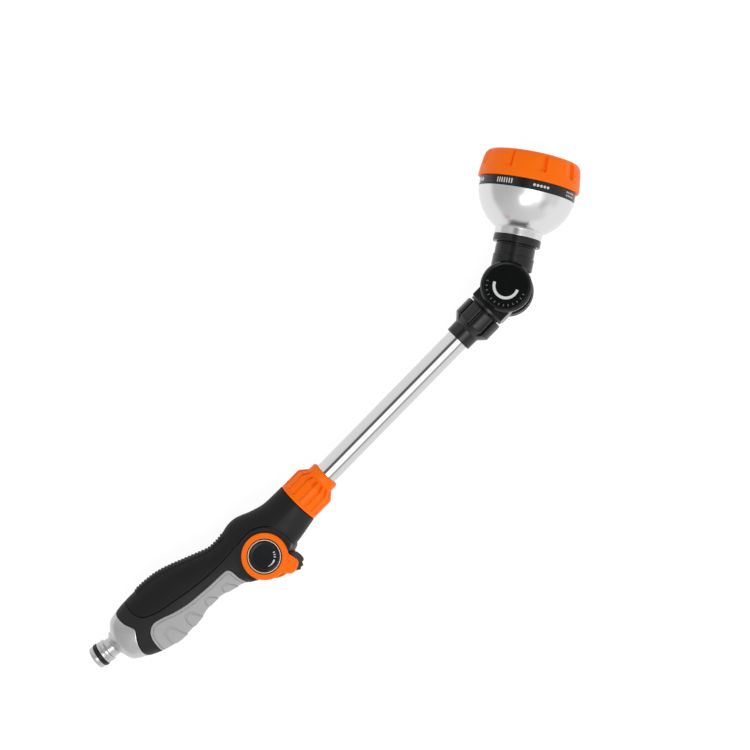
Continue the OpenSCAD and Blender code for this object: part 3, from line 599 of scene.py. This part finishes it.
def build_handle_shell():
    """The hard black handle, sunk under the two panels and grooved along its seam."""
    turns = even_turns(260)
    start = wave_x(turns, 0.35)
    lip = 0.6
    x_rows, depths = [start + 3], [2.4]
    for depth in (2.4, 1.6):
        x_rows.append(start.copy())
        depths.append(depth)
    for t in np.linspace(0, math.pi / 2, 6):
        x_rows.append(start + lip * (1 - math.cos(t)))
        depths.append(lip * (1 - math.sin(t)))
    for share in np.linspace(0, 1, 300)[1:]:
        x_rows.append(start + lip + (HANDLE_END - 0.4 - start - lip) * share)
        depths.append(0.0)
    for x, depth in ((HANDLE_END - 0.12, 0.12), (HANDLE_END, 0.4), (HANDLE_END, 3.2), (HANDLE_END - 2, 3.2)):
        x_rows.append(np.full_like(turns, x))
        depths.append(depth)
    x = np.array(x_rows)
    turn = np.broadcast_to(turns, x.shape)
    flat = handle_point(x, turn)
    side_view = flat[..., :2]
    gap = np.minimum(region_distance(side_view, GRIP_REGION), region_distance(side_view, INLAY_REGION))
    sunk = 1 - smooth(gap + 0.5 * smooth(x, 148, 153), 0.1, 0.55)
    depth = np.array(depths)[:, None] + np.maximum(1.3 * sunk, seam_depth(flat[..., 2]))
    points = handle_point(x, turn, depth)
    make(
        "handle_shell", points.reshape(-1, 3), grid_faces(*x.shape), BLACK, "handle", TUBE,
        ["handle_shell_left", "handle_shell_right"],
    )


def panel(name, path, spine_turn, spine_ends, look, nodes, relief, closed_end, rows, columns):
    """A panel over the handle's surface. It runs from a spine on the back or the front out to
    the outline on both sides, where its edge is rounded. relief gives the height of its details."""
    rounding = 0.75
    length = np.concatenate([[0], np.cumsum(np.linalg.norm(np.diff(path, axis=0), axis=1))])
    t = np.linspace(0, 1, rows)
    out_x = np.interp(t * length[-1], length, path[:, 0])
    out_y = np.interp(t * length[-1], length, path[:, 1])
    first, last = spine_ends
    out_turn = turn_at(out_x, out_y)
    out_turn[0] = spine_turn
    if closed_end:
        out_turn[-1] = spine_turn
    run = np.clip(out_x, first, last)
    ramp = first + (last - first) * t
    spine_x = 0.75 * run + 0.25 * ramp
    spine_x[0], spine_x[-1] = first, last
    a = handle_point(spine_x, np.full(rows, spine_turn))
    b = handle_point(out_x, out_turn)
    reach = np.maximum(np.linalg.norm(b - a, axis=1), 0.5)
    near = np.array([0, 0.06, 0.16, 0.3, 0.5, rounding, 1.1, 1.5, 1.75, 2.0, 2.25, 2.6])
    inner = np.linspace(0, 1, columns)[:-1]
    share_rows, drop_rows = [], []
    for r in reach:
        cut = np.minimum(near, 0.6 * r * near / near[-1]) / r
        body = inner * (1 - cut[-1])
        share_rows.append(np.concatenate([body, 1 - cut[::-1]]))
        fall = np.clip(1 - near[::-1] / rounding, 0, 1)
        round_drop = rounding * (1 - np.sqrt(np.maximum(1 - fall ** 2, 0)))
        drop_rows.append(np.concatenate([np.zeros(len(body)), round_drop]))
    share, drop = np.array(share_rows), np.array(drop_rows)
    share = np.column_stack([share, np.ones(rows)])
    drop = np.column_stack([drop, np.full(rows, 2.0)])
    x = spine_x[:, None] + (out_x - spine_x)[:, None] * share
    turn = spine_turn + (out_turn - spine_turn)[:, None] * share
    flat = handle_point(x, turn)
    if not closed_end:
        drop[:, :-1] *= 1 - 0.9 * smooth(x[:, :-1], 149, 155)
    lift = relief(flat, turn) * smooth(-drop, -0.05, 0)
    if not closed_end:
        drop = drop + np.where(np.arange(rows) == rows - 1, 0.12, 0)[:, None]
    near_side = handle_point(x, turn, drop - lift)
    far_side = near_side * np.array([1, 1, -1])
    count = share.shape[1]
    points = np.concatenate([near_side.reshape(-1, 3), far_side.reshape(-1, 3)])
    faces = grid_faces(rows, count, wrap_cols=False)
    faces += [f[::-1] for f in grid_faces(rows, count, wrap_cols=False, start=rows * count)]
    make(name, points, faces, look, "handle", TUBE, nodes, sharp=50)


RIB_PITCH = 2.35


def grip_relief(p, turn):
    """Cross ribs on the back of the soft grip, from x = 54 to x = 124."""
    x, z = p[..., 0], p[..., 2]
    on_back = p[..., 1] > along_line(BACK_LINE, x) - 12
    wave = 0.5 + 0.5 * np.cos(TAU * (x - 54) / RIB_PITCH)
    reach = smooth(-np.abs(z), -11, -9) * smooth(x, 53, 55) * smooth(-x, -125, -123)
    return np.where(on_back, 1.1 * wave ** 0.8 * reach, 0)


# Raised ovals of the inlay, as (middle along X, half length, height of the top in side view)
OVALS = [(53, 5.6, 4.2), (69.6, 4.8, 0.4), (86.3, 4.2, -1.8), (101.4, 4.6, -3.8)]


def inlay_relief(p, turn):
    """Four raised ovals across the front of the finger inlay, and a line inside its edge."""
    x = p[..., 0]
    lift = np.zeros_like(x)
    for middle, half, top in OVALS:
        wide = math.pi - turn_at(np.full(1, middle), np.full(1, top))[0]
        r = (np.abs((x - middle) / half) ** 2.6 + ((math.pi - np.abs(turn)) / wide) ** 2.6) ** (1 / 2.6)
        lift += 0.55 * (1 - smooth(r, 0.8, 0.93)) - 0.5 * smooth(r, 0.86, 0.95) * (1 - smooth(r, 0.97, 1.06))
    inside = -region_distance(p[..., :2], INLAY_REGION)
    line = smooth(inside, 1.45, 1.75) * (1 - smooth(inside, 2.0, 2.3))
    return lift - 0.6 * line


build_tail_shell()
build_handle_shell()
panel(
    "soft_grip", GRIP_PATH, 0.0, (47.5, HANDLE_END), SOFT, ["grip_back"], grip_relief,
    closed_end=False, rows=560, columns=34,
)
panel(
    "finger_inlay", INLAY_PATH, math.pi, (40.5, 110.5), INLAY, ["finger_inlay"],
    inlay_relief, closed_end=True, rows=420, columns=90,
)

BOSS_RADIUS = 19.3


def build_boss():
    """Flat-faced boss round the valve, cut off where the handle's front edge passes."""
    turn = np.arange(240) * TAU / 240
    r = np.full(240, BOSS_RADIUS)
    for _ in range(40):
        x = VALVE_X + r * np.cos(turn)
        y = VALVE_Y + r * np.sin(turn)
        low = along_line(FRONT_LINE, x) + 0.25
        r = np.where((y < low) & (np.sin(turn) < -0.05), r - 0.6 * (low - y), r)
    r = np.convolve(np.concatenate([r[-3:], r, r[:3]]), np.ones(7) / 7, "valid")
    outline = np.column_stack([r * np.cos(turn), r * np.sin(turn)])
    prism("valve_boss", outline, bevelled(-16.2, 16.2, 1.0), BLACK, "handle", VALVE)


build_boss()


# ---------------------------------------------------------------- hose tail

lathe(
    "hose_tail",
    [
        (1.1, 4.3), (1.1, 7.1), (1.7, 7.7), (2.6, 7.9), (4.7, 7.9), (4.7, 6.4), (7.7, 6.4), (7.7, 7.9),
        (9.4, 7.9), (9.5, 7.5), (10.1, 7.5), (10.2, 7.9), (12.5, 7.9), (12.9, 6.7), (17.2, 6.6), (17.4, 6.1),
        (18.2, 6.1), (18.3, 6.3), (24.5, 6.3), (34, 6), (34, 4.3),
    ],
    SILVER, "handle", TAIL, ["hose_tail"], radius=0.35, step=1.5,
)
lathe(
    "tail_flare", [(16.8, 4.6), (16.8, 6.1), (17.3, 6.4), (19.5, 8.3), (21.8, 10.2), (25, 10.6), (25, 4.6)],
    SILVER, "handle", TAIL, radius=0.5, step=1.5,
)
lathe(
    "tail_oring", [(4.75, 6.45), (4.78, 7.8), (5.3, 8.35), (7.1, 8.35), (7.62, 7.8), (7.65, 6.45)],
    SEAL, "handle", TAIL, ["tail_oring"], radius=0.5,
)


# ---------------------------------------------------------------- valve lever

TAB_ANGLE = -64
LEVER_FLOOR = 16.5
RING_RADIUS = 15.8
RING_POINTS = 288

# Edges of the lever's tab and of the thumb bar, as (angle from the tab, distance from the valve's axis)
TAB_LINE = [
    (28, 15), (22, 17.6), (17.2, 19.8), (13, 22), (9, 23), (3.6, 23), (-4, 22.9), (-12, 21.7),
    (-19, 18.6), (-27, 15),
]
BAR_LINE = [
    (28, 16.5), (26, 17.1), (21, 18.9), (16, 20.5), (11.5, 21.4), (8.5, 21.2), (6, 20.7), (3.5, 21.3),
    (1, 21.9), (-1.5, 21.5), (-3.5, 20.9), (-6, 21.3), (-8.5, 21.2), (-12, 19.9), (-15, 18.7),
]


def lever_ring(side, tag, with_tab):
    """Orange lever ring with a sunk middle, and with or without its tab."""
    name = "lever_ring_" + tag
    turn = np.arange(RING_POINTS) * TAU / RING_POINTS
    rim = np.full(RING_POINTS, RING_RADIUS)
    if with_tab:
        edge = smooth_path(TAB_LINE)[::-1]
        ahead = (np.degrees(turn) - TAB_ANGLE + 180) % 360 - 180
        tab = np.interp(ahead, edge[:, 0], edge[:, 1], left=12, right=12)
        rim = (rim ** 40 + tab ** 40) ** (1 / 40)
    rows = []
    drop = 0.9 * smooth(rim, 15.9, 16.5)
    for z, inset in ((0.0, 0.3), (0.3, 0.0), (2.6, 0.0), (3.1, 0.12), (3.5, 0.4), (3.7, 0.8)):
        rows.append((rim - inset, LEVER_FLOOR + z - (drop if z > 1 else 0)))
    for r, share in ((15.85, 1), (15.7, 0.5), (15.3, 0)):
        rows.append((np.minimum(rim - 0.85, r), LEVER_FLOOR + 3.7 - share * drop))
    for z, r in ((3.7, 12.4), (3.62, 12.05), (3.3, 11.9), (1.3, 11.9), (1.2, 11.7), (1.2, 5.0), (0.0, 5.0)):
        rows.append((np.full(RING_POINTS, r), LEVER_FLOOR + z))
    flat = np.ones(RING_POINTS)
    points = np.concatenate([
        np.column_stack([r * np.cos(turn), r * np.sin(turn), side * z * flat]) for r, z in rows
    ])
    faces = grid_faces(len(rows), RING_POINTS, wrap_rows=True)
    make(name, points, faces, ORANGE, "lever", VALVE, [name], sharp=50)


lever_ring(1, "left", True)
lever_ring(-1, "right", False)


def build_thumb_bar():
    """Dark bar across the handle, with three low ribs along its outer edge."""
    outer = smooth_path(BAR_LINE)
    inner = np.column_stack([np.arange(-15, 27.1, 1.5), np.full(29, 16.1)])
    a, r = np.vstack([inner, outer]).T
    a = np.radians(a + TAB_ANGLE)
    outline = refine(fillet(np.column_stack([r * np.cos(a), r * np.sin(a)]).tolist(), 0.5), 0.6)
    prism(
        "thumb_bar", outline, bevelled(-19.6, LEVER_FLOOR - 0.1, 0.4), LEVER, "lever", VALVE,
        ["thumb_bar"], sharp=50,
    )


build_thumb_bar()

TRIM_PROFILE = [(17.75, 11.25), (20.4, 11.25), (20.6, 11.1), (20.6, 10.8), (20.4, 10.65), (17.75, 10.65)]
SURROUND_PROFILE = [(17.75, 11.85), (20.1, 11.85), (20.1, 11.32), (17.75, 11.32)]
CAP_PROFILE = [
    (19.2, 0.01), (19.2, 9), (17.85, 9), (17.85, 10.3), (20.3, 10.3), (20.5, 9.7), (20.42, 9.0), (20.0, 8.4),
    (19.85, 0.01),
]

for side, tag in SIDES:
    lathe(
        "trim_ring_" + tag, on_side(side, TRIM_PROFILE), WHITE, "lever", VALVE,
        ["trim_ring_" + tag], radius=0.15, axis="z",
    )
    lathe(
        "cap_surround_" + tag, on_side(side, SURROUND_PROFILE), GLOSS, "lever", VALVE,
        radius=0.1, axis="z",
    )
    lathe(
        "lever_cap_" + tag, on_side(side, CAP_PROFILE), CAP, "lever", VALVE,
        ["lever_cap_" + tag], radius=0.3, axis="z",
    )


# ---------------------------------------------------------------- nuts and tube

COLLAR_RADIUS = 15.3


def collar_shape(x, r, turn):
    """Sixteen finger grooves, deepest on the collar's shoulder."""
    off = np.abs(off_pitch(turn, -2.3, 360 / 16)) * np.pi / 180 * COLLAR_RADIUS
    across = 1 - smooth(off, 0.75, 1.25)
    depth = 1.0 * smooth(x, 177.3, 178.3) + 1.3 * smooth(x, 188.5, 192.5)
    depth = depth * (1 - smooth(x, 193.6, 196.2))
    outside = (r > 11.0) & (x > 177) & (x < 196.5)
    return np.where(outside, r - depth * across, r)


lathe(
    "collar_nut",
    [
        (174.8, 12.7), (174.8, 15.1), (175.1, 15.4), (176.7, 15.4), (177.0, 15.0), (177.3, COLLAR_RADIUS),
        (190.8, COLLAR_RADIUS), (196.4, 10.6), (201.1, 10.5), (202, 9.7), (202, 8.25), (196.2, 8.25),
        (196.2, 9.5), (189.6, 10.7), (189.6, 12.7),
    ],
    ORANGE, "collar", TUBE, ["collar_nut"], radius=0.35, around=384,
    shape=collar_shape, step=0.55, sharp=55,
)
lathe(
    "wand_tube", [(170.5, 7.1), (170.5, 8), (349, 8), (349, 7.1)],
    CHROME, "handle", TUBE, ["wand_tube"], radius=0.2, around=192, step=6,
)

NUT_BASE = PIVOT_X - 47.8
LOBE_RADIUS = 14.4


def lobe_shape(x, r, turn):
    """Eight wide lobes parted by narrow grooves."""
    off = np.abs(off_pitch(turn, 0, 45)) * np.pi / 180 * LOBE_RADIUS
    across = 1 - smooth(off, 0.85, 1.35)
    u = x - NUT_BASE
    depth = 2.0 * smooth(u, 9.0, 10.5)
    crown = 0.35 * smooth(-off, -2.6, -1.0)
    outside = (r > 11.3) & (u > 8.6)
    return np.where(outside, np.maximum(r - depth * across - crown * smooth(u, 11, 14), 11.4), r)


lathe(
    "upper_nut",
    [(NUT_BASE + u, r) for u, r in (
        (0, 8.2), (0, 9.3), (0.5, 9.7), (8.5, 9.8), (13.5, LOBE_RADIUS), (25.4, LOBE_RADIUS), (26.1, 13.7),
        (26.1, 11.1), (13.2, 11.1), (9.6, 9.5), (8.9, 9.2), (8.9, 8.2),
    )],
    SLEEK, "joint_nut", TUBE, ["upper_nut"], radius=0.5, around=384,
    shape=lobe_shape, step=0.6, sharp=55,
)


# ---------------------------------------------------------------- swivel

KNUCKLE = place(PIVOT_X, TUBE_Y)
CHEEK_IN, CHEEK_OUT = 9.9, 15.5
TONGUE_RADIUS = 13.3
WEB_RADIUS = 14


def build_tongue():
    """Half-round tongue of the lower knuckle between the cheeks of the upper one."""
    a = np.linspace(-math.pi / 2, math.pi / 2, 60)
    nose = [(TONGUE_RADIUS * math.cos(t), TONGUE_RADIUS * math.sin(t)) for t in a]
    outline = refine(np.array([(-19, -TONGUE_RADIUS)] + nose + [(-19, TONGUE_RADIUS)]), 1.0)
    prism("lower_tongue", outline, bevelled(-9.6, 9.6, 0.5), SLEEK, "handle", KNUCKLE)


build_tongue()
lathe(
    "lower_knuckle",
    [
        (-33, 8.05), (-33, 10.8), (-21, 10.8), (-20.9, 13.2), (-18.5, 13.3), (-18.5, 5), (-30, 5),
        (-30, 8.05),
    ],
    SLEEK, "handle", KNUCKLE, ["lower_knuckle"], radius=0.4,
)
lathe(
    "lower_barrel", [(-12.4, 6), (-12.4, 9.5), (12.4, 9.5), (12.4, 6)],
    SLEEK, "handle", KNUCKLE, axis="z",
)


def build_yoke():
    """Two cheeks and the two webs that join them to the neck."""
    cheek = [(CHEEK_IN, 2), (CHEEK_IN, 17), (CHEEK_OUT, 17), (CHEEK_OUT, 2)]
    half = math.acos(CHEEK_IN / WEB_RADIUS)
    turned = HEAD @ np.array([[0, 0, 1, 0], [1, 0, 0, 0], [0, 1, 0, 0], [0, 0, 0, 1.0]])
    for side, tag in SIDES:
        lathe(
            "cheek_" + tag, on_side(side, cheek), SLEEK, "head", HEAD,
            radius=0.6, around=160, axis="z",
        )
        turns = np.linspace(-half, half, 40)
        outline = fillet([(WEB_RADIUS * math.sin(t), side * WEB_RADIUS * math.cos(t)) for t in turns], 0.3)
        prism("web_" + tag, outline, [(7, 0), (14.5, 0)], SLEEK, "head", turned)


build_yoke()
lathe(
    "upper_knuckle",
    [
        (13.8, 0.01), (13.8, 14), (22.2, 14), (22.2, 13.2), (22.9, 13.2), (22.9, 13.5), (28.9, 13.5),
        (28.9, 12.9), (29.6, 12.9), (29.6, 13.5), (30.4, 13.5), (30.4, 10.9), (43, 10.9), (43, 9.6),
        (44.8, 9.6), (44.8, 10.9), (46, 10.9), (46, 6), (16, 6), (16, 0.01),
    ],
    SLEEK, "head", HEAD, ["upper_knuckle"], radius=0.3,
)


def arc_band(name, radius, width, first, last, low, high, look, body, where, side, ends):
    """A thin curved mark about the Z axis, from one angle to another, between two heights. ends is
    the radius of its corners."""
    a = np.radians(np.linspace(first, last, max(8, int(abs(last - first) / 1.5))))
    corners = [ends] + [0] * (len(a) - 2) + [ends]

    def edge(r):
        """One long side of the mark, at radius r."""
        return [(r * math.cos(t), r * math.sin(t), corner) for t, corner in zip(a, corners)]

    outline = fillet(edge(radius + width / 2) + edge(radius - width / 2)[::-1], 0)
    top = (high - low) * 0.4
    levels = [(side * low, 0), (side * (high - top), 0), (side * high, min(0.06, top))]
    prism(name, outline, levels, look, body, where, sharp=30)


SWIVEL_CAP_PROFILE = [
    (15.6, 0.01), (15.6, 17.4), (17.1, 17.4), (19.2, 16.1), (19.2, 15.4), (18.8, 14.9), (18.8, 0.01),
]
ARC_FIRST, ARC_LAST = 112 - HEAD_TILT, 296 - HEAD_TILT
TICK_FIRST, TICK_LAST, TICK_COUNT = 117 - HEAD_TILT, 288 - HEAD_TILT, 13

for side, tag in SIDES:
    lathe(
        "swivel_cap_" + tag, on_side(side, SWIVEL_CAP_PROFILE), GLOSS, "head", HEAD,
        ["swivel_cap_" + tag], radius=0.35, around=192, axis="z",
    )
    arc_band("swivel_arc_" + tag, 8, 1.9, ARC_FIRST, ARC_LAST, 18.7, 18.9, PRINT, "head", HEAD, side, 0.5)
    for i in range(TICK_COUNT):
        at = TICK_FIRST + i * (TICK_LAST - TICK_FIRST) / (TICK_COUNT - 1)
        arc_band(
            "swivel_tick_%s_%d" % (tag, i), 12.9, 1.5, at - 1.6, at + 1.6, 18.7, 18.88, FAINT, "head", HEAD,
            side, 0.2,
        )


# ---------------------------------------------------------------- lever cap marks

MARK_RADIUS = 7.1

for side, tag in SIDES:
    for i, at in enumerate((-21, -34, -47)):
        arc_band(
            "lever_tick_%s_%d" % (tag, i), MARK_RADIUS, 1.5, at - 3, at + 3, 19.8, 20.05, PRINT, "lever",
            VALVE, side, 0.15,
        )
    for i, (first, last, wide) in enumerate(((-82, -62, 1.2), (-99, -82, 0.8), (-114, -99, 0.45))):
        arc_band(
            "lever_wedge_%s_%d" % (tag, i), MARK_RADIUS, wide, first, last, 19.8, 20.05, PRINT, "lever",
            VALVE, side, 0.15,
        )


# ---------------------------------------------------------------- spray head

lathe(
    "neck_collar", [(30.5, 11), (30.5, 16.2), (35.2, 16.2), (35.2, 11)],
    SLEEK, "head", HEAD, ["neck_collar"], radius=0.45,
)
BELL_FLARE = [
    (40.6, 17), (42.5, 19.8), (45, 22.8), (48, 25.6), (52, 28.4), (56, 30.4), (60, 31.8), (65, 32.9),
]
BELL_INSIDE = [
    (65, 31.1), (60, 29.8), (56, 28.4), (52, 26.3), (48, 23.4), (45, 20.5), (42.5, 17.4), (40.8, 14.2),
]


def bell_profile():
    """The bell's outline, with its flare drawn as smooth curves outside and inside."""
    flare = [(x, r, 0.05) for x, r in smooth_path(BELL_FLARE, 5)]
    back = [(x, r, 0.05) for x, r in smooth_path(BELL_INSIDE, 3)]
    return [(35.4, 11), (35.4, 16.2), (40.3, 16.2)] + flare + back + [(38, 14.2), (38, 11)]


lathe("bell", bell_profile(), BELL, "head", HEAD, ["bell"], radius=0.4, around=256, sharp=30)

LABEL_RADIUS = 32.8
SCALLOP_PITCH = 40

lathe(
    "label_ring", [(65.4, 28.9), (65.4, LABEL_RADIUS), (71.5, LABEL_RADIUS), (71.5, 28.9)],
    SLEEK, "dial", HEAD, ["label_ring"], radius=0.3, around=192,
)


def dial_shape(u, r, turn):
    """Nine saw-tooth finger scallops round the front of the dial, each with a groove at its step."""
    ahead = (np.degrees(turn) - 20) % SCALLOP_PITCH
    depth = 2.1 * np.clip(1 - ahead / 14, 0, 1) ** 1.3 * smooth(ahead, 0, 0.6)
    middle = np.abs((ahead + SCALLOP_PITCH / 2) % SCALLOP_PITCH - SCALLOP_PITCH / 2 - 1.1)
    depth = np.maximum(depth, 2.4 * (1 - smooth(middle, 0.9, 1.7)))
    rise = smooth(u, 77.6, 79) * (1 - 0.75 * smooth(u, 87.4, 89.6))
    outside = (r > 29.6) & (u > 77)
    return np.where(outside, np.maximum(r - depth * rise, 29.4), r)


lathe(
    "dial_ring",
    [
        (71.7, 28.9), (71.7, 34.2), (72.4, 34.75), (77, 34.4), (84.5, 33.5), (88, 32.6), (90, 31.1),
        (90.6, 29.7), (90.6, 28.9),
    ],
    ORANGE, "dial", HEAD, ["dial_ring"], radius=0.5, around=540, shape=dial_shape,
    step=0.6, sharp=45,
)


def label_mark(name, middle, shapes):
    """A generic raised mark on the label band, from flat shapes of (place along the head's axis,
    distance round the band)."""
    for i, outline in enumerate(shapes):
        shape_points = refine(fillet(outline, 0.12), 0.5)
        u = shape_points[:, 0]
        a = math.radians(middle) + shape_points[:, 1] / LABEL_RADIUS
        rows = []
        for height, size in ((-0.15, 1), (0.03, 1), (0.06, 0.96)):
            along = u.mean() + (u - u.mean()) * size
            around = a.mean() + (a - a.mean()) * size
            r = LABEL_RADIUS + height
            rows.append(np.column_stack([along, r * np.sin(around), r * np.cos(around)]))
        count = len(u)
        faces = grid_faces(3, count)
        faces.append(list(range(count)))
        faces.append([2 * count + k for k in range(count)][::-1])
        make("%s_%d" % (name, i), np.concatenate(rows), faces, PRINT, "dial", HEAD, sharp=30)


def box(u, v, du, dv):
    """Corners of a bar of size du by dv about (u, v)."""
    return [(u + x * du / 2, v + y * dv / 2) for x, y in ((-1, -1), (1, -1), (1, 1), (-1, 1))]


def disc(u, v, r):
    """A round dot about (u, v)."""
    return [(u + r * math.cos(t), v + r * math.sin(t)) for t in np.arange(20) * TAU / 20]


BAND_MIDDLE = 68.4
FIRST_MARK = 26

# One pictogram for each spray pattern, evenly spaced round the label band
MARKS = [
    [box(BAND_MIDDLE, v, 3.4, 0.8) for v in (-5.4, -3.6, -1.8, 0, 1.8, 3.6, 5.4)],
    [disc(BAND_MIDDLE, v, 0.95) for v in (-4.8, -2.4, 0, 2.4, 4.8)],
    [disc(u, v, 0.6) for u in (67.3, 69.5) for v in (-4, -2, 0, 2, 4)],
    [[(66.9, v - 1.2), (66.9, v + 1.2), (69.9, v)] for v in (-4.2, -1.4, 1.4, 4.2)],
    [box(67.3, 0, 0.8, 9.6), box(69.5, 0, 0.8, 9.6)],
    [box(BAND_MIDDLE, v, 3.2, 1.6) for v in (-4.5, -1.5, 1.5, 4.5)],
    [box(BAND_MIDDLE, v, 0.9, 2.2) for v in (-5, -1.7, 1.7, 5)],
    [disc(BAND_MIDDLE, v, 1.4) for v in (-3.6, 0, 3.6)],
]

for k, shapes in enumerate(MARKS):
    label_mark("label_mark_%d" % k, FIRST_MARK - k * 360 / len(MARKS), shapes)


# ---------------------------------------------------------------- studio light

def softbox(name, at, target, wide, deep, power):
    """A rectangular area light at a place, turned to its target, in metres and watts."""
    lamp = bpy.data.lights.new(name, "AREA")
    lamp.shape = "RECTANGLE"
    lamp.size, lamp.size_y = wide, deep
    lamp.energy = power
    obj = bpy.data.objects.new(name, lamp)
    bpy.context.scene.collection.objects.link(obj)
    obj.location = at
    obj.rotation_euler = (Vector(target) - Vector(at)).to_track_quat("-Z", "Y").to_euler()


softbox("key", (0.0, -0.45, 1.1), (0.3, 0, 0), 0.55, 0.3, 3.0)
